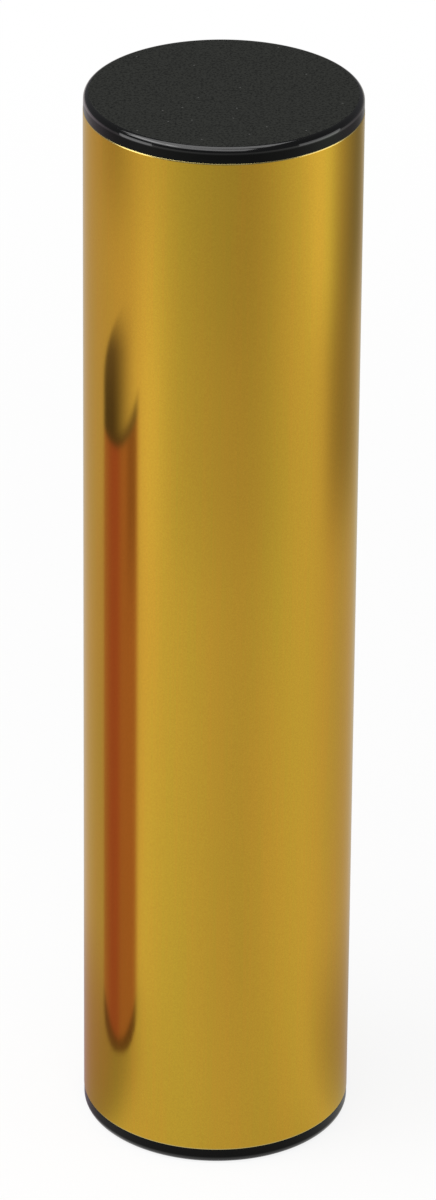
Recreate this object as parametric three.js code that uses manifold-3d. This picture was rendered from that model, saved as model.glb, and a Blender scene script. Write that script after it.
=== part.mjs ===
// A tube shaker for hand percussion. A polished, gold anodised aluminium tube is closed at each end by
// a black plastic cap that presses into its bore, and a single layer of loose steel shot runs from one
// cap to the other when the tube is shaken.
// Millimetres, +Z up along the tube. The origin is the centre of the face that the shaker stands on.
import * as THREE from 'three';
import { mergeVertices } from 'three/addons/utils/BufferGeometryUtils.js';
import Module from 'manifold-3d';

// Tube
const TUBE_DIAMETER = 50;
const TUBE_WALL = 1.2;
const TUBE_LENGTH = 201.2;
const TUBE_EDGE_CHAMFER = 0.25;

// End caps, both from one mould
const FLANGE_HEIGHT = 3; // stands beyond the tube's end
const FLANGE_STEP = 0.05; // how far the flange's rim sits inside the tube's outer surface
const FLANGE_EDGE_RADIUS = 1.2;
const PLATE_THICKNESS = 2; // the end wall that the shot strikes
const SKIRT_DEPTH = 10; // reaches into the bore
const SKIRT_WALL = 1.6;
const SKIRT_CLEARANCE = 0.45; // all round, to the bore
const SKIRT_LEAD_IN = 0.7; // chamfer that starts the skirt into the bore
const SKIRT_ROOT_RADIUS = 0.6; // moulded fillet between the plate and the skirt

// Ribs on the skirt that grip the bore
const RIB_COUNT = 12;
const RIB_RADIUS = 0.7;
const RIB_TIP_RADIUS = 0.35; // the rib tapers until it runs out into the skirt
const RIB_CLEARANCE = 0.15; // stands for the rib's bite, so that the cap and the tube don't overlap
const RIB_ROOT = 0.4; // how deep the rib starts inside the flange
const RIB_END_GAP = 1.5; // from the rib's tip to the skirt's end

// Loose shot
const SHOT_COUNT = 55;
const SHOT_DIAMETER = 4.5;
const SHOT_LEAST_GAP = 0.1; // between neighbouring balls
const SHOT_SIDE_CLEARANCE = 0.3; // from the outermost ball to the skirt
const SHOT_RESTING_GAP = 0.1; // below a ball at rest

// How finely round shapes are faceted
const ROUND_SEGMENTS = 96;
const EDGE_STEPS = 4;
const RIB_SIDES = 10;
const SHOT_DETAIL = 2;
const ROUNDING = 1e-6;

const TUBE_RADIUS = TUBE_DIAMETER / 2;
const BORE_RADIUS = TUBE_RADIUS - TUBE_WALL;
const FLANGE_RADIUS = TUBE_RADIUS - FLANGE_STEP;
const SKIRT_RADIUS = BORE_RADIUS - SKIRT_CLEARANCE;
const SKIRT_BORE_RADIUS = SKIRT_RADIUS - SKIRT_WALL;
const SKIRT_END = FLANGE_HEIGHT + SKIRT_DEPTH;
const TOTAL_LENGTH = TUBE_LENGTH + 2 * FLANGE_HEIGHT;
const SHOT_RADIUS = SHOT_DIAMETER / 2;
const SHOT_REST_HEIGHT = PLATE_THICKNESS + SHOT_RESTING_GAP + SHOT_RADIUS;

const goldAnodised = new THREE.MeshStandardMaterial({ color: 0xd2a03a, roughness: 0.2, metalness: 1 });
const blackPlastic = new THREE.MeshStandardMaterial({ color: 0x1a1a19, roughness: 0.55, metalness: 0 });
const polishedSteel = new THREE.MeshStandardMaterial({ color: 0xb9bcc0, roughness: 0.25, metalness: 1 });

const wasm = await Module();
wasm.setup();

function solidFrom(geometry) {
  const bare = geometry.clone().deleteAttribute('normal').deleteAttribute('uv');
  const merged = mergeVertices(bare);
  return new wasm.Manifold(new wasm.Mesh({
    numProp: 3,
    vertProperties: merged.attributes.position.array,
    triVerts: new Uint32Array(merged.index.array),
  }));
}

function geometryFrom(solid) {
  const mesh = solid.getMesh();
  const geometry = new THREE.BufferGeometry();
  geometry.setAttribute('position', new THREE.BufferAttribute(mesh.vertProperties, 3));
  geometry.setIndex(new THREE.BufferAttribute(mesh.triVerts, 1));
  const flat = geometry.toNonIndexed();
  flat.computeVertexNormals();
  return flat;
}

// Points along an arc in the profile plane, from one angle to another, in degrees.
function arc(centreX, centreY, radius, fromDegrees, toDegrees) {
  return Array.from({ length: EDGE_STEPS + 1 }, (_, step) => {
    const angle = THREE.MathUtils.degToRad(THREE.MathUtils.lerp(fromDegrees, toDegrees, step / EDGE_STEPS));
    return new THREE.Vector2(centreX + radius * Math.cos(angle), centreY + radius * Math.sin(angle));
  });
}

// Turns a profile of radius and height about the Z axis.
function turned(profile) {
  return new THREE.LatheGeometry(profile, ROUND_SEGMENTS).rotateX(Math.PI / 2);
}

function tube() {
  const chamfer = Math.min(TUBE_EDGE_CHAMFER, 0.4 * TUBE_WALL);
  const profile = [
    new THREE.Vector2(BORE_RADIUS + chamfer, 0),
    new THREE.Vector2(TUBE_RADIUS - chamfer, 0),
    new THREE.Vector2(TUBE_RADIUS, chamfer),
    new THREE.Vector2(TUBE_RADIUS, TUBE_LENGTH - chamfer),
    new THREE.Vector2(TUBE_RADIUS - chamfer, TUBE_LENGTH),
    new THREE.Vector2(BORE_RADIUS + chamfer, TUBE_LENGTH),
    new THREE.Vector2(BORE_RADIUS, TUBE_LENGTH - chamfer),
    new THREE.Vector2(BORE_RADIUS, chamfer),
    new THREE.Vector2(BORE_RADIUS + chamfer, 0),
  ];
  const mesh = new THREE.Mesh(turned(profile), goldAnodised);
  mesh.name = 'tube';
  mesh.position.z = FLANGE_HEIGHT;
  return mesh;
}

// The turned body of a cap, with its outer face at height 0 and its skirt pointing up.
function capBody() {
  const edge = Math.min(FLANGE_EDGE_RADIUS, 0.45 * FLANGE_HEIGHT);
  const root = Math.min(SKIRT_ROOT_RADIUS, 0.4 * SKIRT_WALL);
  const leadIn = Math.min(SKIRT_LEAD_IN, 0.5 * SKIRT_WALL);
  return turned([
    new THREE.Vector2(0, 0),
    ...arc(FLANGE_RADIUS - edge, edge, edge, -90, 0),
    new THREE.Vector2(FLANGE_RADIUS, FLANGE_HEIGHT),
    new THREE.Vector2(SKIRT_RADIUS, FLANGE_HEIGHT),
    new THREE.Vector2(SKIRT_RADIUS, SKIRT_END - leadIn),
    new THREE.Vector2(SKIRT_RADIUS - leadIn, SKIRT_END),
    new THREE.Vector2(SKIRT_BORE_RADIUS, SKIRT_END),
    ...arc(SKIRT_BORE_RADIUS - root, PLATE_THICKNESS + root, root, 0, -90),
    new THREE.Vector2(0, PLATE_THICKNESS),
  ]);
}

// One tapered grip rib, in place on the skirt.
function gripRib(angle) {
  const start = FLANGE_HEIGHT - RIB_ROOT;
  const height = SKIRT_END - RIB_END_GAP - start;
  const crest = BORE_RADIUS - RIB_CLEARANCE;
  const rootRadius = Math.min(RIB_RADIUS, 0.45 * (crest - SKIRT_BORE_RADIUS));
  const tipRadius = Math.min(RIB_TIP_RADIUS, rootRadius);
  return new THREE.CylinderGeometry(tipRadius, rootRadius, height, RIB_SIDES)
    .rotateX(Math.PI / 2)
    .translate(crest - rootRadius, 0, start + height / 2)
    .rotateZ(angle);
}

function capGeometry() {
  let solid = solidFrom(capBody());
  for (let index = 0; index < RIB_COUNT; index += 1) {
    solid = solid.add(solidFrom(gripRib((index + 0.5) * 2 * Math.PI / RIB_COUNT)));
  }
  return geometryFrom(solid);
}

function bottomCap(geometry) {
  const mesh = new THREE.Mesh(geometry, blackPlastic);
  mesh.name = 'bottom_cap';
  return mesh;
}

function topCap(geometry) {
  const mesh = new THREE.Mesh(geometry, blackPlastic);
  mesh.name = 'top_cap';
  mesh.rotation.x = Math.PI;
  mesh.position.z = TOTAL_LENGTH;
  return mesh;
}

// Points of a triangular grid with unit spacing, nearest the middle first.
function gridPoints(count) {
  const rings = Math.ceil(Math.sqrt(count));
  const points = [];
  for (let row = -rings; row <= rings; row += 1) {
    for (let column = -rings; column <= rings; column += 1) {
      points.push(new THREE.Vector2(column + row / 2, row * Math.sqrt(3) / 2));
    }
  }
  const ring = (point) => Math.round(point.lengthSq());
  points.sort((a, b) => ring(a) - ring(b) || a.angle() - b.angle());
  return points.slice(0, count);
}

// Centres of the balls, spread over the cap's inner face as far as its skirt.
function shotPlaces() {
  const points = gridPoints(SHOT_COUNT);
  const reach = SKIRT_BORE_RADIUS - SHOT_SIDE_CLEARANCE - SHOT_RADIUS;
  const spacing = Math.max(reach / points.at(-1).length(), SHOT_DIAMETER + SHOT_LEAST_GAP);
  return points
    .map((point) => point.multiplyScalar(spacing))
    .filter((place) => place.length() <= reach + ROUNDING);
}

function shot() {
  const group = new THREE.Group();
  shotPlaces().forEach((place, index) => {
    const ball = new THREE.Mesh(new THREE.IcosahedronGeometry(SHOT_RADIUS, SHOT_DETAIL), polishedSteel);
    ball.name = `shot_ball_${String(index + 1).padStart(2, '0')}`;
    ball.position.set(place.x, place.y, 0);
    group.add(ball);
  });
  group.position.z = SHOT_REST_HEIGHT;
  return group;
}

const capShape = capGeometry();
const shell = new THREE.Group();
shell.add(tube(), bottomCap(capShape), topCap(capShape));

const shaker = new THREE.Group();
shaker.add(shell, shot());

export default shaker;
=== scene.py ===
# %% [markdown]
# A tube shaker: how its surfaces are made
#
# The shaker is a polished, gold anodised aluminium tube. A black plastic cap plugs each end, and loose
# steel shot lies on the lower cap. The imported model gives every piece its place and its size. This
# script gives each piece the fine surface that a close look needs: rounded edges, moulded texture,
# drawn metal, and a studio for the metal to mirror. All lengths are in metres.

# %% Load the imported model
import math

import bmesh
import bpy
from mathutils import Matrix, Vector


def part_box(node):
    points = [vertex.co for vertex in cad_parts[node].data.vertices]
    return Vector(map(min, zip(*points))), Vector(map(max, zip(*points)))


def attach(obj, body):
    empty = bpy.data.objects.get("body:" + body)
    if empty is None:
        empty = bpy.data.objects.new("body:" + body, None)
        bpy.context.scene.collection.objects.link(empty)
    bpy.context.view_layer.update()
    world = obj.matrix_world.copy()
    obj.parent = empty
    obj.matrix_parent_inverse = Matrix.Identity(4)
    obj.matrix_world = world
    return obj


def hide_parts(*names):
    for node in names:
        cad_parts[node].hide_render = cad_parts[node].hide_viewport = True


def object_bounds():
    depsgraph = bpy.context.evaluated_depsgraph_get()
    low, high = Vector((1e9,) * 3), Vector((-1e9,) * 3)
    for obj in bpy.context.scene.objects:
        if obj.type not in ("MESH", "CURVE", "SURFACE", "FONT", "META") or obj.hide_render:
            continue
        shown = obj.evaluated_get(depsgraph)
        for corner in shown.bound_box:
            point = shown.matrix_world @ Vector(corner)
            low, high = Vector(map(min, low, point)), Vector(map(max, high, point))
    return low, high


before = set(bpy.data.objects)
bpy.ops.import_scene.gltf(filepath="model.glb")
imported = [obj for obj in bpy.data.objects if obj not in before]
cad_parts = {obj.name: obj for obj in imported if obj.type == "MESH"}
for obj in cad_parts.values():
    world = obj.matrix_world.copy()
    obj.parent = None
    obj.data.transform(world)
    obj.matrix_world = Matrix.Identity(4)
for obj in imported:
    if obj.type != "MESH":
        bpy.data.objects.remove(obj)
cad_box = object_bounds()

MM = 0.001
print("the packed model measures", [round(x / MM, 1) for x in cad_box[1] - cad_box[0]], "mm")

# %% [markdown]
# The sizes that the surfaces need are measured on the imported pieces, so nothing is fitted by eye. A
# round piece is known by the radii of its corners in a band of heights. A thin slice is enough to catch
# one ring of corners.


# %% Measure the pieces
SLICE = 0.1 * MM


def radii(node, low, high):
    """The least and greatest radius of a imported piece's corners between two heights."""
    corners = (v.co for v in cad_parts[node].data.vertices)
    found = [math.hypot(c.x, c.y) for c in corners if low <= c.z <= high]
    return min(found), max(found)


whole_height = cad_box[1].z
flange_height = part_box("tube")[0].z
skirt_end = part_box("bottom_cap")[1].z
bore_radius, tube_radius = radii("tube", 0, whole_height)
flange_radius = radii("bottom_cap", 0, flange_height)[1]
skirt_bore_radius = radii("bottom_cap", skirt_end - SLICE, skirt_end)[0]
rib_crest_radius = radii("bottom_cap", flange_height + SLICE, skirt_end)[1]
print("tube", round(tube_radius / MM, 2), "bore", round(bore_radius / MM, 2), "mm in radius")

# %% [markdown]
# The camera comes next, because everything after it is judged through it. It stands a little over a
# metre away and looks down at the shaker through a long lens, so the tube tapers only slightly towards
# its foot. A small pitch, turn and roll centre the shaker in the frame.

# %% Place the camera
IMAGE_HEIGHT = 1200
FOCAL_PIXELS = 6823
CAMERA_DISTANCE = 1.254
LOOKING_DOWN = math.radians(27.45)
PITCH = math.radians(-0.099)
TURN = math.radians(-0.013)
ROLL = math.radians(-0.505)

aim = Vector((0, 0, whole_height / 2))
away = Vector((0, -math.cos(LOOKING_DOWN), math.sin(LOOKING_DOWN)))
across = Vector((1, 0, 0))
level = Matrix((across, away.cross(across), away))
rolled = Matrix.Rotation(ROLL, 3, "Z") @ Matrix.Rotation(PITCH, 3, "X")
aimed = rolled @ Matrix.Rotation(TURN, 3, "Y") @ level

camera_data = bpy.data.cameras.new("camera")
camera_data.sensor_width = 36
camera_data.lens = camera_data.sensor_width * FOCAL_PIXELS / IMAGE_HEIGHT
camera_data.clip_start = 0.05
camera_data.clip_end = 50
camera = bpy.data.objects.new("camera", camera_data)
camera.matrix_world = Matrix.Translation(aim + away * CAMERA_DISTANCE) @ aimed.transposed().to_4x4()
bpy.context.collection.objects.link(camera)
bpy.context.scene.camera = camera
print("lens", round(camera_data.lens, 1), "mm")

# %% [markdown]
# Shader maths reads best as plain expressions. A small class wraps one output socket, and each operator
# adds the Math node that does its work. Its method `node` adds any other kind of node: its settings
# first, then the values or links of its sockets.


# %% Write shader maths as expressions
# A Mix node also has sockets for numbers and vectors, so its colour sockets are known by their places.
MIX_FACTOR, MIX_FIRST_COLOUR, MIX_SECOND_COLOUR, MIXED_COLOUR = 0, 6, 7, 2


def lay_stops(ramp, stops):
    """Gives a colour ramp its (position, colour) stops, the first at 0 and the last at 1."""
    ramp.interpolation = "B_SPLINE"
    for position, _ in stops[1:-1]:
        ramp.elements.new(position)
    for element, (_, colour) in zip(ramp.elements, stops):
        element.color = colour


class Shade:
    def __init__(self, tree, socket=None):
        self.tree = tree
        self.socket = socket

    def put(self, socket, value):
        if isinstance(value, Shade):
            self.tree.links.new(value.socket, socket)
        else:
            socket.default_value = value

    def node(self, kind, settings=None, sockets=None, output=0):
        made = self.tree.nodes.new(kind)
        for name, value in (settings or {}).items():
            if name == "stops":
                lay_stops(made.color_ramp, value)
            else:
                setattr(made, name, value)
        for name, value in (sockets or {}).items():
            self.put(made.inputs[name], value)
        return Shade(self.tree, made.outputs[output])

    def end(self, kind, surface):
        """Ends a tree with its output node."""
        self.put(self.tree.nodes.new(kind).inputs["Surface"], surface)

    def maths(self, operation, *values):
        sockets = dict(enumerate(values))
        return self.node("ShaderNodeMath", {"operation": operation}, sockets)

    def __add__(self, other):
        return self.maths("ADD", self, other)

    def __radd__(self, other):
        return self.maths("ADD", other, self)

    def __sub__(self, other):
        return self.maths("SUBTRACT", self, other)

    def __rsub__(self, other):
        return self.maths("SUBTRACT", other, self)

    def __mul__(self, other):
        return self.maths("MULTIPLY", self, other)

    def __rmul__(self, other):
        return self.maths("MULTIPLY", other, self)

    def __truediv__(self, other):
        return self.maths("DIVIDE", self, other)

    def step(self, low, high):
        """0 below low, 1 above high, and a smooth rise between them."""
        ends = {"Value": self, "From Min": low, "From Max": high}
        return self.node("ShaderNodeMapRange", {"interpolation_type": "SMOOTHSTEP"}, ends)

    def blend(self, first, second):
        """The first colour where this value is 0, and the second where it is 1."""
        sockets = {MIX_FACTOR: self, MIX_FIRST_COLOUR: first, MIX_SECOND_COLOUR: second}
        return self.node("ShaderNodeMix", {"data_type": "RGBA"}, sockets, output=MIXED_COLOUR)

    def blend_shaders(self, first, second):
        """The first shader where this value is 0, and the second where it is 1."""
        return self.node("ShaderNodeMixShader", sockets={0: self, 1: first, 2: second})

    def coordinates(self, kind="Object"):
        """The coordinates of this kind: the point, and its x, y and z."""
        point = self.node("ShaderNodeTexCoord", output=kind)
        split = self.node("ShaderNodeSeparateXYZ", sockets={"Vector": point}).socket.node
        return point, *(Shade(self.tree, split.outputs[axis]) for axis in "XYZ")

    def noise(self, point, scale, detail=2.0, roughness=0.5):
        sockets = {"Vector": point, "Scale": scale, "Detail": detail, "Roughness": roughness}
        return self.node("ShaderNodeTexNoise", sockets=sockets, output="Fac")

    def drawn_out(self, point, squeeze):
        """The point with its z squeezed, so that a pattern on it is drawn out along Z."""
        return self.node("ShaderNodeMapping", sockets={"Vector": point, "Scale": (1, 1, squeeze)})

    def bump(self, height, distance, below=None):
        """The normal of a relief whose height runs from 0 to 1 over the distance."""
        sockets = {"Height": height, "Distance": distance}
        if below is not None:
            sockets["Normal"] = below
        return self.node("ShaderNodeBump", sockets=sockets)


# %% Start a finish
def new_finish(name, **constants):
    """A material whose Principled surface has these constant values, and a Shade to build on."""
    material = bpy.data.materials.new(name)
    material.use_nodes = True
    surface = material.node_tree.nodes["Principled BSDF"]
    for socket, value in constants.items():
        surface.inputs[socket.replace("_", " ")].default_value = value
    return material, surface, Shade(material.node_tree)


# %% [markdown]
# Gold anodised aluminium is bare metal under a thin, clear, dyed layer of oxide. It reflects like a
# gold mirror that is slightly hazy, and the haze has a grain: faint lines along the tube, left from
# drawing and polishing. Noise that is stretched along Z makes those lines, and coarser noise makes the
# slightly uneven dye, here a touch redder and there a touch greener. The bore is drawn but not
# polished, so it is rougher. At a glancing angle the oxide keeps some gold in its sheen, which a
# specular tint gives, and a very fine haze dims the gold in tiny grains. The ends are filed after the
# anodising, so their edges are bare, paler and duller.

# %% Finish: gold anodised aluminium
GOLD_RED = (0.700, 0.394, 0.042, 1)
GOLD_GREEN = (0.634, 0.411, 0.040, 1)
HAZE = (0.25, 0.15, 0.015, 1)
BARE = (0.74, 0.61, 0.235, 1)
GLANCING_TINT = (1, 0.945, 0.72, 1)
HUE_LOW, HUE_HIGH = 0.36, 0.64
DYE_SHARE, LINES_SHARE, GRAIN_SHARE = 0.6, 0.25, 0.15
GRAIN_LOW, GRAIN_HIGH = 0.25, 0.75
MOST_HAZE = 0.13
POLISHED = 0.1
SMEARED = 0.05
LINED = 0.03
BORE_ROUGHNESS = 0.42
FILED_ROUGHNESS = 0.22
FILED_DEPTH, PLAINLY_FILED = 0.2 * MM, 0.16 * MM
BORE_FINISH, BORE_FADED = 0.1 * MM, 0.4 * MM
LINES_RELIEF, GRAIN_RELIEF = 0.7, 0.3
GOLD_RELIEF = 0.0015 * MM

gold_anodised, surface, shade = new_finish("gold_anodised", Metallic=1.0, Specular_Tint=GLANCING_TINT)
point, x, y, z = shade.coordinates()
radius = shade.maths("SQRT", x * x + y * y)
in_bore = 1 - radius.step(bore_radius + BORE_FINISH, bore_radius + BORE_FADED)
depth = whole_height / 2 - flange_height - shade.maths("ABSOLUTE", z - whole_height / 2)
filed = 1 - depth.step(PLAINLY_FILED, FILED_DEPTH)
dye = shade.noise(shade.drawn_out(point, squeeze=0.12), scale=90, detail=4)
lines = shade.noise(shade.drawn_out(point, squeeze=0.01), scale=3000, detail=2)
smears = shade.noise(shade.drawn_out(point, squeeze=0.4), scale=160, detail=4, roughness=0.6)
grain = shade.noise(point, scale=3600, detail=1)

hue = dye * DYE_SHARE + lines * LINES_SHARE + grain * GRAIN_SHARE
dyed = hue.step(HUE_LOW, HUE_HIGH).blend(GOLD_GREEN, GOLD_RED)
hazed = (grain.step(GRAIN_LOW, GRAIN_HIGH) * MOST_HAZE).blend(dyed, HAZE)
shade.put(surface.inputs["Base Color"], filed.blend(hazed, BARE))
polished = POLISHED + smears * SMEARED + lines * LINED
dulled = in_bore * (BORE_ROUGHNESS - POLISHED) + filed * (FILED_ROUGHNESS - POLISHED)
shade.put(surface.inputs["Roughness"], polished + dulled)
relief = shade.bump(lines * LINES_RELIEF + grain * GRAIN_RELIEF, GOLD_RELIEF)
shade.put(surface.inputs["Normal"], relief)
print(gold_anodised.name, len(gold_anodised.node_tree.nodes), "nodes")

# %% [markdown]
# The caps are moulded in black plastic. The mould's end face was etched, which gives the plastic a fine
# matte grain, and the mould's rounded edge was polished, so the rim shines, which a clear coat gives.
# Both masks follow the depth below the end faces, so one finish serves both caps. A few specks of dust
# lie on the matte face, as they do on any black one: a flat Voronoi pattern scatters round dots, and
# white noise keeps one in ten of them.

# %% Finish: moulded black plastic
BLACK = (0.0007, 0.0009, 0.0006, 1)
BLACK_MATTE = (0.0238, 0.0250, 0.0218, 1)
DUST = (0.12, 0.12, 0.115, 1)
ETCH_DEPTH = 0.025 * MM
RIM_DEPTH = 1.0 * MM
WALL_DEPTH = 1.42 * MM
DUST_PER_METRE = 300
DUST_REACH = 0.24 * MM
DUST_SHARE = 0.1
EVEN_MATTE, MOTTLED_MATTE = 0.2, 0.3
ETCHING_LOW, ETCHING_HIGH = 0.3, 0.7
MOULDED_ROUGHNESS, MOTTLED_ROUGHNESS = 0.16, 0.05
ETCHED_ROUGHNESS, GRAINY_ROUGHNESS = 0.3, 0.12
PLASTIC_RELIEF = 0.02 * MM

black_plastic, surface, shade = new_finish("black_plastic", Specular_IOR_Level=0.13, Coat_Roughness=0.045)
point, _, _, z = shade.coordinates()
depth = whole_height / 2 - shade.maths("ABSOLUTE", z - whole_height / 2)
below_etching = depth.step(ETCH_DEPTH, 2 * ETCH_DEPTH)
etched = 1 - below_etching
rim = below_etching * (1 - depth.step(RIM_DEPTH, WALL_DEPTH))
etching = shade.noise(point, scale=2200, detail=2, roughness=0.6)
mottle = shade.noise(point, scale=420, detail=4, roughness=0.6)
ripple = shade.noise(point, scale=130, detail=1)

dots = {"Vector": point, "Scale": DUST_PER_METRE}
cells = shade.node("ShaderNodeTexVoronoi", {"voronoi_dimensions": "2D"}, dots).socket.node
from_speck = Shade(shade.tree, cells.outputs["Distance"])
speck_place = Shade(shade.tree, cells.outputs["Position"])
near = 1 - from_speck.step(0, DUST_REACH * DUST_PER_METRE)
drawn = shade.node("ShaderNodeTexWhiteNoise", sockets={"Vector": speck_place})
kept = shade.maths("LESS_THAN", drawn, DUST_SHARE)
specks = near * kept * etched

pits = etching.step(ETCHING_LOW, ETCHING_HIGH)
matte = etched * (EVEN_MATTE + mottle * MOTTLED_MATTE + pits)
colour = matte.blend(BLACK, BLACK_MATTE)
shade.put(surface.inputs["Base Color"], specks.blend(colour, DUST))
moulded = MOULDED_ROUGHNESS + mottle * MOTTLED_ROUGHNESS
dulled = etched * (ETCHED_ROUGHNESS + etching * GRAINY_ROUGHNESS)
shade.put(surface.inputs["Roughness"], moulded + dulled)
shade.put(surface.inputs["Coat Weight"], rim)
rippled = shade.bump(ripple, PLASTIC_RELIEF)
relief = shade.bump(etching * etched, PLASTIC_RELIEF, below=rippled)
shade.put(surface.inputs["Normal"], relief)
print(black_plastic.name, len(black_plastic.node_tree.nodes), "nodes")

# %% [markdown]
# The shot is small polished steel balls, as for bearings. They knock against each other all their life,
# so fine dents and scuffs break up the mirror.

# %% Finish: polished steel
STEEL = (0.56, 0.565, 0.575, 1)
STEEL_DULL = (0.46, 0.46, 0.465, 1)
DULLING_START, DULLEST = 0.4, 0.65
SCUFFING_START, ALL_SCUFFED = 0.35, 0.75
STEEL_ROUGHNESS, SCUFFED_ROUGHNESS = 0.1, 0.25
DENT_RIM = 0.35
DENT_DEPTH = 0.01 * MM

polished_steel, surface, shade = new_finish("polished_steel", Metallic=1.0)
point, *_ = shade.coordinates()
scuffs = shade.noise(point, scale=1800, detail=5, roughness=0.7)
dents = shade.node("ShaderNodeTexVoronoi", sockets={"Vector": point, "Scale": 1400}, output="Distance")
colour = scuffs.step(DULLING_START, DULLEST).blend(STEEL, STEEL_DULL)
scuffed = scuffs.step(SCUFFING_START, ALL_SCUFFED)
shade.put(surface.inputs["Base Color"], colour)
shade.put(surface.inputs["Roughness"], STEEL_ROUGHNESS + scuffed * SCUFFED_ROUGHNESS)
shade.put(surface.inputs["Normal"], shade.bump(dents.step(0, DENT_RIM), DENT_DEPTH))
print(polished_steel.name, len(polished_steel.node_tree.nodes), "nodes")

# %% [markdown]
# Tube and caps are turned shapes. A lathe tool's path is drawn as a flat outline of a few corners, each
# corner is rounded with a bevel, and the outline is spun about Z. Long straight stretches get a support
# point near each end, so that smooth shading stays flat right up to the rounded corners.

# %% Turn an outline
AROUND = 264
CORNER_SEGMENTS = 8
SUPPORT = 0.25 * MM
LONG_STRETCH = 4 * SUPPORT
ON_AXIS = 1e-9
SAME_PLACE = 1e-7


def round_corner(mesh, corner, size):
    bmesh.ops.bevel(
        mesh, geom=[corner], offset=size, offset_type="OFFSET", affect="VERTICES",
        segments=CORNER_SEGMENTS, profile=0.5, material=-1, clamp_overlap=True,
    )


def add_supports(mesh):
    for edge in list(mesh.edges):
        length = edge.calc_length()
        if length > LONG_STRETCH:
            near, far = edge.verts
            _, support = bmesh.utils.edge_split(edge, near, SUPPORT / length)
            long_part = next(e for e in support.link_edges if far in e.verts)
            bmesh.utils.edge_split(long_part, far, SUPPORT / long_part.calc_length())


def turned(outline):
    """A mesh turned from (radius, height, rounding) corners, in order round the section."""
    mesh = bmesh.new()
    corners = [mesh.verts.new((radius, 0, height)) for radius, height, _ in outline]
    mesh.faces.new(corners)
    for corner, (_, _, rounding) in zip(corners, outline):
        if rounding:
            round_corner(mesh, corner, rounding)
    bmesh.ops.delete(mesh, geom=list(mesh.faces), context="FACES_ONLY")
    on_axis = [e for e in mesh.edges if all(v.co.x < ON_AXIS for v in e.verts)]
    bmesh.ops.delete(mesh, geom=on_axis, context="EDGES")
    add_supports(mesh)
    bmesh.ops.spin(
        mesh, geom=mesh.verts[:] + mesh.edges[:], cent=(0, 0, 0), axis=(0, 0, 1),
        angle=math.tau, steps=AROUND, use_merge=True,
    )
    bmesh.ops.remove_doubles(mesh, verts=mesh.verts, dist=SAME_PLACE)
    bmesh.ops.recalc_face_normals(mesh, faces=mesh.faces)
    return mesh


# %% Dress a piece
def piece(mesh, name, body, node, finish):
    """Makes a finished piece of a mesh: smooth, dressed, riding on its body in its node's place."""
    for face in mesh.faces:
        face.smooth = True
    data = bpy.data.meshes.new(name)
    mesh.to_mesh(data)
    mesh.free()
    data.materials.append(finish)
    made = bpy.data.objects.new(name, data)
    bpy.context.collection.objects.link(made)
    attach(made, body)
    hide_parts(node)
    return made


# %% [markdown]
# The tube is a plain ring in section. Its ends are cut square, and a file breaks their outer edges at a
# steep angle. That narrow facet catches the light from the sides as one thin bright line around the rim.
# A flat facet was chosen over a round one, because a round one would glint all the way round.

# %% Make the tube
TUBE_CHAMFER = 0.25 * MM
FACET = 0.065 * MM
EDGE_BREAK = 0.04 * MM

low, high = flange_height, whole_height - flange_height
tube_section = [
    (bore_radius + TUBE_CHAMFER, low, EDGE_BREAK),
    (tube_radius - FACET, low, EDGE_BREAK),
    (tube_radius, low + FILED_DEPTH, EDGE_BREAK),
    (tube_radius, high - FILED_DEPTH, EDGE_BREAK),
    (tube_radius - FACET, high, EDGE_BREAK),
    (bore_radius + TUBE_CHAMFER, high, EDGE_BREAK),
    (bore_radius, high - TUBE_CHAMFER, EDGE_BREAK),
    (bore_radius, low + TUBE_CHAMFER, EDGE_BREAK),
]
tube = piece(turned(tube_section), "anodised_tube", "shell", "tube", gold_anodised)
print(tube.name, len(tube.data.polygons), "faces")

# %% [markdown]
# A cap is a flange with a skirt that plugs the bore. Its outer edge is rounded, where a hand meets it.

# %% Turn a cap
FLANGE_ROUNDING = 1.2 * MM
SKIRT_CLEARANCE = 0.45 * MM
SKIRT_LEAD_IN = 0.7 * MM
SKIRT_ROOT = 0.6 * MM
PLATE_THICKNESS = 2 * MM
LEAD_IN_BREAK = 0.08 * MM
MOUTH_BREAK = 0.16 * MM

skirt_radius = bore_radius - SKIRT_CLEARANCE
cap_section = [
    (0, 0, 0),
    (flange_radius, 0, FLANGE_ROUNDING),
    (flange_radius, flange_height, EDGE_BREAK),
    (skirt_radius, flange_height, 0),
    (skirt_radius, skirt_end - SKIRT_LEAD_IN, LEAD_IN_BREAK),
    (skirt_radius - SKIRT_LEAD_IN, skirt_end, LEAD_IN_BREAK),
    (skirt_bore_radius, skirt_end, MOUTH_BREAK),
    (skirt_bore_radius, PLATE_THICKNESS, SKIRT_ROOT),
    (0, PLATE_THICKNESS, 0),
]
print("the cap's section has", len(cap_section), "corners")

# %% [markdown]
# Twelve ribs on the skirt grip the bore. A moulded rib is part of the wall it stands on, so it is
# raised from the wall's own faces: two columns of faces are extruded outwards at each rib's place, and
# the new corners go out to a rounded crest that runs down to nothing at the rib's free end. A few cuts
# round the skirt near that end give the slope its curve.

# %% Raise the ribs
RIB_COUNT = 12
RIB_FOOT = flange_height + 0.9 * SUPPORT
RIB_END = skirt_end - 1.5 * MM
RIB_CUTS = (0, 0.15, 0.4, 0.8, 1.4, 2.4)
RIB_SLOPE = 0.25
RIB_SHOULDER = 0.55
LEAST_RAISE = 0.01 * MM
ON_WALL = 1e-6
FACE_ANGLE = math.tau / AROUND
CREST_ANGLE = 0.1 * FACE_ANGLE


def bearing(point):
    """The angle round Z of a point, from the nearest rib's middle."""
    share = math.tau / RIB_COUNT
    return math.atan2(point.y, point.x) % share - share / 2


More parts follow.
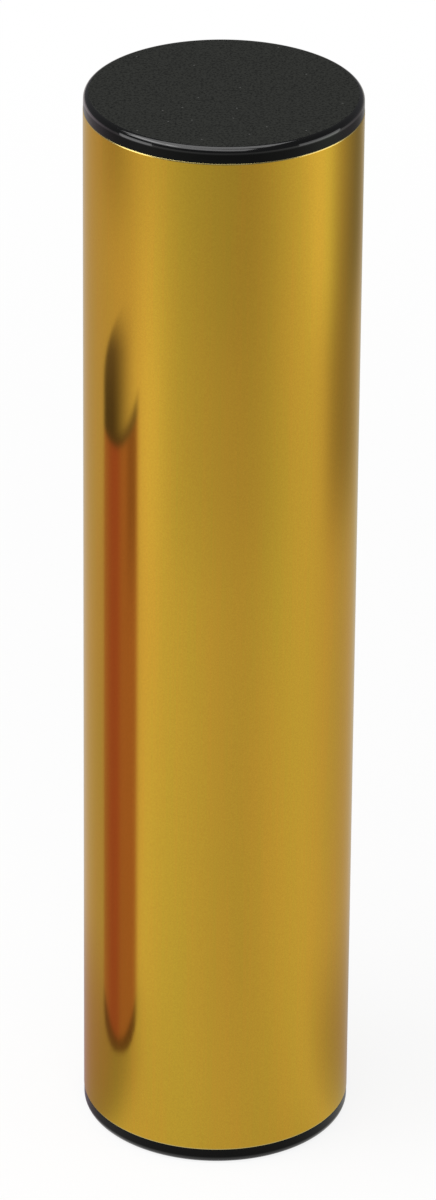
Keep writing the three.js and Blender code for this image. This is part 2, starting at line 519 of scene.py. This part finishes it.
def raise_ribs(mesh):
    for cut in RIB_CUTS:
        bmesh.ops.bisect_plane(
            mesh, geom=mesh.verts[:] + mesh.edges[:] + mesh.faces[:],
            plane_co=(0, 0, RIB_END - cut * MM), plane_no=(0, 0, 1),
        )
    walls = [
        face for face in mesh.faces
        if all(abs(math.hypot(v.co.x, v.co.y) - skirt_radius) < ON_WALL for v in face.verts)
        and RIB_FOOT < face.calc_center_median().z < RIB_END
        and abs(bearing(face.calc_center_median())) < FACE_ANGLE
    ]
    raised = bmesh.ops.extrude_face_region(mesh, geom=walls)["geom"]
    bmesh.ops.delete(mesh, geom=walls, context="FACES_ONLY")
    for vert in raised:
        if isinstance(vert, bmesh.types.BMVert):
            along = max(0, RIB_END - vert.co.z) / (RIB_END - flange_height)
            slope = math.sqrt(min(1, along / RIB_SLOPE))
            on_crest = abs(bearing(vert.co)) < CREST_ANGLE
            height = (rib_crest_radius - skirt_radius) * slope * (1 if on_crest else RIB_SHOULDER)
            out = (skirt_radius + max(height, LEAST_RAISE)) / skirt_radius
            vert.co.x *= out
            vert.co.y *= out
    bmesh.ops.recalc_face_normals(mesh, faces=mesh.faces)


def cap_mesh():
    mesh = turned(cap_section)
    raise_ribs(mesh)
    return mesh


# %% Make both caps from the one mould
lower_cap = piece(cap_mesh(), "lower_cap", "shell", "bottom_cap", black_plastic)

upper_mesh = cap_mesh()
half_turn = Matrix.Rotation(math.pi, 4, "X")
lifted = Matrix.Translation((0, 0, whole_height))
bmesh.ops.transform(upper_mesh, matrix=lifted @ half_turn, verts=upper_mesh.verts)
upper_cap = piece(upper_mesh, "upper_cap", "shell", "top_cap", black_plastic)
print(lower_cap.name, "and", upper_cap.name, len(lower_cap.data.polygons), "faces each")

# %% [markdown]
# Each ball of the shot is a piece of its own, because each one moves by itself. A ball is a subdivided
# icosahedron, which has no poles for the polish to pinch at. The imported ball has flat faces, so its box
# is a little small, and its true radius is the reach of its corners.

# %% Make the shot
BALL_SUBDIVISIONS = 4
balls = []
for node in sorted(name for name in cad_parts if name.startswith("shot_ball_")):
    low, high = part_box(node)
    middle = (low + high) / 2
    reach = max((corner.co - middle).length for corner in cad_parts[node].data.vertices)
    number = node.removeprefix("shot_ball_")
    ball = bmesh.new()
    bmesh.ops.create_icosphere(
        ball, subdivisions=BALL_SUBDIVISIONS, radius=reach, matrix=Matrix.Translation(middle),
    )
    balls.append(piece(ball, f"ball_{number}", f"shot_{number}", node, polished_steel))
print(len(balls), "balls,", round(2 * reach / MM, 2), "mm across")

# %% [markdown]
# The studio is plain: a pale floor, a white backdrop, soft lights overhead and in front, and smaller
# ones at the sides. The camera sees the floor and the backdrop as white. Near the shaker's foot the
# floor keeps its shadow, and further off it is as white as the backdrop, so that no horizon shows.
#
# Polished metal shows what stands round it more than its own colour, so the light that it mirrors
# matters most. Five smooth ramps go round the shaker by compass angle, one for the floor at its foot and
# four for what lies further and further off. They are bright at the sides and dimmer in front and
# behind, which gives the tube its long soft bands. The ramp at the foot is dimmer still at the sides: a
# painted shadow on the floor beside the shaker, which the metal mirrors. The angle is taken from the
# shaker and not from the camera, so the bands stay right when the camera moves.

# %% Describe the light round the shaker
# The ramp at the foot is dimmer at the sides, a painted shadow on the floor for the metal to mirror.
SHADOWED_FOOT = {
    -180: 0.45, -115: 0.38, -80: 0.34, -66: 0.36, -52: 0.77, -38: 0.74, -18: 0.74, 0: 0.66,
    26: 0.62, 48: 0.70, 66: 0.80, 78: 0.62, 92: 0.50, 112: 0.45, 180: 0.45,
}
NEAR = {
    -180: 0.60, -125: 0.57, -100: 0.48, -64: 0.94, -48: 0.82, -16: 0.71, 16: 0.57, 40: 0.68,
    70: 0.83, 98: 0.70, 122: 0.60, 150: 0.56, 180: 0.60,
}
MIDDLE = {
    -180: 0.60, -142: 0.54, -118: 0.62, -80: 0.60, -61: 1.10, -42: 0.68, -22: 0.60, 8: 0.50,
    30: 0.51, 50: 0.69, 70: 0.78, 88: 0.78, 102: 0.36, 118: 0.27, 134: 0.30, 150: 0.50, 180: 0.60,
}
FAR = {
    -180: 0.60, -140: 0.56, -116: 0.65, -78: 0.66, -60: 0.92, -42: 0.65, -22: 0.54, 8: 0.42,
    28: 0.44, 50: 0.66, 72: 0.84, 90: 1.08, 106: 0.48, 124: 0.22, 142: 0.14, 160: 0.40, 180: 0.60,
}
LAST = {
    -180: 0.60, -140: 0.56, -118: 0.56, -98: 0.26, -78: 0.46, -58: 0.72, -42: 0.60, -22: 0.51, 8: 0.41,
    28: 0.42, 50: 0.66, 72: 0.82, 90: 1.04, 106: 0.56, 124: 0.28, 142: 0.10, 160: 0.40, 180: 0.60,
}
FOOT_END, NEAR_START = 0.045, 0.10
NEAR_END, MIDDLE_START = 0.24, 0.31
MIDDLE_END, FAR_START = 0.35, 0.42
FAR_END, LAST_START = 0.42, 0.48
LEFT_WARMTH, LEFT_WARMEST, LEFT_SPREAD = 0.18, 120, 75
RIGHT_WARMTH, RIGHT_WARMEST, RIGHT_SPREAD = 0.13, 130, 50
FOOT_WARMTH = 2.2
YELLOWER, YELLOW_ANGLE = 1.17, 90
LEAST_BLUE = 0.1


def go_round(shade, turn, levels, warmth=1, yellow=False):
    """A light level by compass angle as a colour, plain in front and warmest behind to each side.

    It may be a little yellower at its brightest, on the right.
    """
    stops = []
    for angle, level in levels.items():
        if angle < 0:
            most, off_warmest = LEFT_WARMTH, abs(-angle - LEFT_WARMEST) / LEFT_SPREAD
        else:
            most, off_warmest = RIGHT_WARMTH, abs(angle - RIGHT_WARMEST) / RIGHT_SPREAD
        green = level * (1 - most * warmth * math.cos(min(1, off_warmest) * math.pi / 2) ** 2)
        if yellow and angle == YELLOW_ANGLE:
            green *= YELLOWER
        blue = level * (1 - LEAST_BLUE * abs(angle) / 180)
        stops.append((0.5 + angle / 360, (level, green, blue, 1)))
    return shade.node("ShaderNodeValToRGB", {"stops": stops}, {"Fac": turn})


# %% Read the compass and the kind of ray
def turn_of(shade, x, y):
    """The turn round Z, 0.5 towards the front, lower to its left and higher to its right."""
    return 0.5 + shade.maths("ARCTAN2", x, 0 - y) / math.tau


def light_path(shade):
    """1 for the camera's rays, and 1 for rays that come from a mirror or through glass."""
    rays = shade.node("ShaderNodeLightPath").socket.node.outputs
    camera_ray = Shade(shade.tree, rays["Is Camera Ray"])
    mirrored = Shade(shade.tree, rays["Is Glossy Ray"]) + Shade(shade.tree, rays["Is Transmission Ray"])
    return camera_ray, mirrored


# %% Make the pieces of the studio
def stage_piece(mesh, name, material):
    """Makes an object of a mesh, dressed in this material, in the scene."""
    data = bpy.data.meshes.new(name)
    mesh.to_mesh(data)
    mesh.free()
    data.materials.append(material)
    made = bpy.data.objects.new(name, data)
    bpy.context.collection.objects.link(made)
    return made


def new_stage_material(name):
    """An empty material for the studio, and a Shade to build on."""
    material = bpy.data.materials.new(name)
    material.use_nodes = True
    material.node_tree.nodes.clear()
    return material, Shade(material.node_tree)


# %% Lay the floor
FLOOR_SIZE = 12
FLOOR_WHITE = (0.92, 0.92, 0.92, 1)
FLOOR_GLOW = 0.86
MIRRORED_GLOW = 0.85
SHADOWED, ALL_WHITE = 0.15, 0.55
WHITE = (1, 1, 1, 1)

pale_floor, shade = new_stage_material("pale_floor")
_, x, y, _ = shade.coordinates()
camera_ray, mirrored = light_path(shade)
turn = turn_of(shade, x, y)
distance = shade.maths("SQRT", x * x + y * y)
# The floor at the foot carries a painted shadow, seen only in the metal.
shadowed_foot = go_round(shade, turn, SHADOWED_FOOT, warmth=FOOT_WARMTH)
near = go_round(shade, turn, NEAR)
middle = go_round(shade, turn, MIDDLE)
far = go_round(shade, turn, FAR, yellow=True)
last = go_round(shade, turn, LAST, yellow=True)
close = distance.step(FOOT_END, NEAR_START).blend(shadowed_foot, near)
distant = distance.step(MIDDLE_END, FAR_START).blend(middle, far)
furthest = distance.step(FAR_END, LAST_START).blend(distant, last)
seen_in_metal = distance.step(NEAR_END, MIDDLE_START).blend(close, furthest)
glow = shade.node("ShaderNodeEmission", sockets={"Color": mirrored.blend(WHITE, seen_in_metal)})
matte = shade.node("ShaderNodeBsdfDiffuse", sockets={"Color": FLOOR_WHITE})
seen_glow = FLOOR_GLOW + distance.step(SHADOWED, ALL_WHITE) * (1 - FLOOR_GLOW)
share = camera_ray * seen_glow + mirrored * MIRRORED_GLOW
shade.end("ShaderNodeOutputMaterial", share.blend_shaders(matte, glow))

floor_mesh = bmesh.new()
bmesh.ops.create_grid(floor_mesh, x_segments=1, y_segments=1, size=FLOOR_SIZE / 2)
floor = stage_piece(floor_mesh, "floor", pale_floor)
print(floor.name, FLOOR_SIZE, "m across, with", len(pale_floor.node_tree.nodes), "nodes")

# %% Light the world
AMBIENT = 0.2
ROOM = (0.15, 0.15, 0.16, 1)

world = bpy.data.worlds.new("studio")
bpy.context.scene.world = world
world.use_nodes = True
world.node_tree.nodes.clear()
shade = Shade(world.node_tree)
camera_ray, mirrored = light_path(shade)
colour = mirrored.blend(WHITE, ROOM)
strength = camera_ray + mirrored + (1 - camera_ray - mirrored) * AMBIENT
backdrop = shade.node("ShaderNodeBackground", sockets={"Color": colour, "Strength": strength})
shade.end("ShaderNodeOutputWorld", backdrop)
print("world", world.name, "gives the object light of strength", AMBIENT)


# %% Hang the lights
def softbox(name, azimuth, elevation, distance, width, depth, radiance):
    """A light whose face has this radiance, aimed at the shaker's middle."""
    light = bpy.data.lights.new(name, "AREA")
    light.shape = "RECTANGLE"
    light.size = width
    light.size_y = depth
    light.energy = radiance * math.pi * width * depth
    lamp = bpy.data.objects.new(name, light)
    across, up = math.radians(azimuth), math.radians(elevation)
    away = Vector((math.sin(across) * math.cos(up), -math.cos(across) * math.cos(up), math.sin(up)))
    lamp.location = aim + away * distance
    lamp.rotation_euler = away.to_track_quat("Z", "Y").to_euler()
    lamp.visible_camera = False
    bpy.context.collection.objects.link(lamp)


softbox("overhead", azimuth=-90, elevation=80, distance=1.17, width=0.78, depth=1.5, radiance=2.3)
softbox("front", azimuth=-14, elevation=53, distance=1.7, width=1.7, depth=0.85, radiance=2.4)
softbox("left_high", azimuth=-72, elevation=48, distance=1.2, width=0.72, depth=0.36, radiance=3.4)
softbox("left_low", azimuth=-73, elevation=6, distance=0.65, width=0.36, depth=0.33, radiance=2.1)
softbox("right_low", azimuth=82, elevation=6, distance=0.65, width=0.50, depth=0.34, radiance=1.2)
print("lights:", [light.name for light in bpy.data.lights])

# %% [markdown]
# Metal looks like metal only when it also has something dark to mirror. A tall brown card with rounded
# ends stands close beside the tube, where only its reflection shows. It is no lamp, but it glows in
# painted colours: a deeper red stripe, a browner one near its right edge, and a painted shadow along its
# foot. Its top is a dark crescent that pales towards both tips. The crescent is clear inside, so its
# outline is a mask that mixes in a transparent shader.

# %% Paint the reflection card
CARD_FOOT = 0.005
CARD_TOP = 0.165
CARD_LEFT = -0.0032
CARD_RIGHT = -0.0294
CARD_X = -0.042
CARD_ROUNDING = 0.011
CARD_BROWN = (0.475, 0.235, 0.28, 1)
CARD_RED = (0.43, 0.14, 0.22, 1)
CARD_STRIPE = (0.33, 0.17, 0.20, 1)
# The next colour is the painted shadow along the card's foot.
CARD_FOOT_SHADOW = (0.17, 0.10, 0.13, 1)
CARD_DARK = (0.10, 0.085, 0.13, 1)
CARD_PALER = (0.20, 0.17, 0.26, 1)
RED_MIDDLE, RED_CORE, RED_EDGE = 0.33, 0.05, 0.25
STRIPE_MIDDLE, STRIPE_CORE, STRIPE_EDGE = 0.79, 0.04, 0.18
STRIPE_START, STRIPE_FULL = 0.09, 0.125
SHADE_START, SHADE_END = 0.0018, 0.0042
CRESCENT_MIDDLE = 0.4
CRESCENT_FOOT, CRESCENT_BEND, CRESCENT_BLUR = 0.1338, 0.019, 0.001
HOLLOW_FOOT, HOLLOW_BEND, HOLLOW_BLUR = 0.1355, 0.026, 0.0025
HOLLOW_LEFT, HOLLOW_RIGHT = 0.26, 0.92
TIP_START, TIP_END, TIP_LEAN = 0.1455, 0.1595, 0.36
EDGE_OUTSIDE, EDGE_INSIDE = -0.03, 0.08
PALER_FOOT, PALER_TOP = 0.137, 0.163
PALER_LEFT, PALER_RIGHT = 0.35, 0.85
FADE_FOOT, FADE_TOP = 0.152, 0.165
FADE_LEFT, FADE_RIGHT = 0.88, 1.02

brown_card, shade = new_stage_material("brown_card")
_, _, y, z = shade.coordinates()
across = (y - CARD_LEFT) / (CARD_RIGHT - CARD_LEFT)
from_red = shade.maths("ABSOLUTE", across - RED_MIDDLE)
from_stripe = shade.maths("ABSOLUTE", across - STRIPE_MIDDLE)
# The painted shadow at the foot follows the card's rounded end, which rises by the rounding at both
# sides.
off_middle = across - 0.5
above_foot = z - CARD_FOOT - off_middle * off_middle * (4 * CARD_ROUNDING)
stripe = (1 - from_stripe.step(STRIPE_CORE, STRIPE_EDGE)) * z.step(STRIPE_START, STRIPE_FULL)
plain = from_red.step(RED_CORE, RED_EDGE).blend(CARD_RED, CARD_BROWN)
brown = stripe.blend(plain, CARD_STRIPE)
# The card darkens towards its foot: a painted shadow.
shadowed_at_foot = above_foot.step(SHADE_START, SHADE_END).blend(CARD_FOOT_SHADOW, brown)

off_crescent = across - CRESCENT_MIDDLE
bend = off_crescent * off_crescent
dark = (z - bend * CRESCENT_BEND).step(CRESCENT_FOOT - CRESCENT_BLUR, CRESCENT_FOOT + CRESCENT_BLUR)
up_left, up_right = z.step(PALER_FOOT, PALER_TOP), across.step(PALER_LEFT, PALER_RIGHT)
towards_tips = shade.maths("MAXIMUM", up_left, up_right)
colour = dark.blend(shadowed_at_foot, towards_tips.blend(CARD_DARK, CARD_PALER))

above = (z - bend * HOLLOW_BEND).step(HOLLOW_FOOT - CRESCENT_BLUR, HOLLOW_FOOT + HOLLOW_BLUR)
hollow = above * across.step(HOLLOW_LEFT, HOLLOW_RIGHT)
up_tip = shade.maths("MAXIMUM", (z - TIP_START) / (TIP_END - TIP_START), 0)
inside = (across - up_tip * up_tip * TIP_LEAN).step(EDGE_OUTSIDE, EDGE_INSIDE)
fading = (1 - z.step(FADE_FOOT, FADE_TOP)) * (1 - across.step(FADE_LEFT, FADE_RIGHT))
solid = inside * (1 - hollow) * fading
card_glow = shade.node("ShaderNodeEmission", sockets={"Color": colour})
card_clear = shade.node("ShaderNodeBsdfTransparent")
shade.end("ShaderNodeOutputMaterial", solid.blend_shaders(card_clear, card_glow))
print(brown_card.name, len(brown_card.node_tree.nodes), "nodes")

# %% Stand the reflection card
card_size = Matrix.Diagonal((CARD_TOP - CARD_FOOT, CARD_LEFT - CARD_RIGHT, 1, 1))
card_middle = Vector((CARD_X, (CARD_LEFT + CARD_RIGHT) / 2, (CARD_FOOT + CARD_TOP) / 2))
upright = Matrix.Rotation(math.pi / 2, 4, "Y")

card_mesh = bmesh.new()
bmesh.ops.create_grid(card_mesh, x_segments=1, y_segments=1, size=0.5)
bmesh.ops.transform(card_mesh, matrix=card_size, verts=card_mesh.verts)
for corner in list(card_mesh.verts):
    round_corner(card_mesh, corner, CARD_ROUNDING)
placed = Matrix.Translation(card_middle) @ upright
bmesh.ops.transform(card_mesh, matrix=placed, verts=card_mesh.verts)
card = stage_piece(card_mesh, "card", brown_card)
for ray in ("camera", "diffuse", "shadow", "transmission", "volume_scatter"):
    setattr(card, "visible_" + ray, False)
print(card.name, "stands", round(-CARD_X / MM), "mm to the left of the tube's axis")

# %% Keep colours plain
bpy.context.scene.view_settings.view_transform = "Standard"
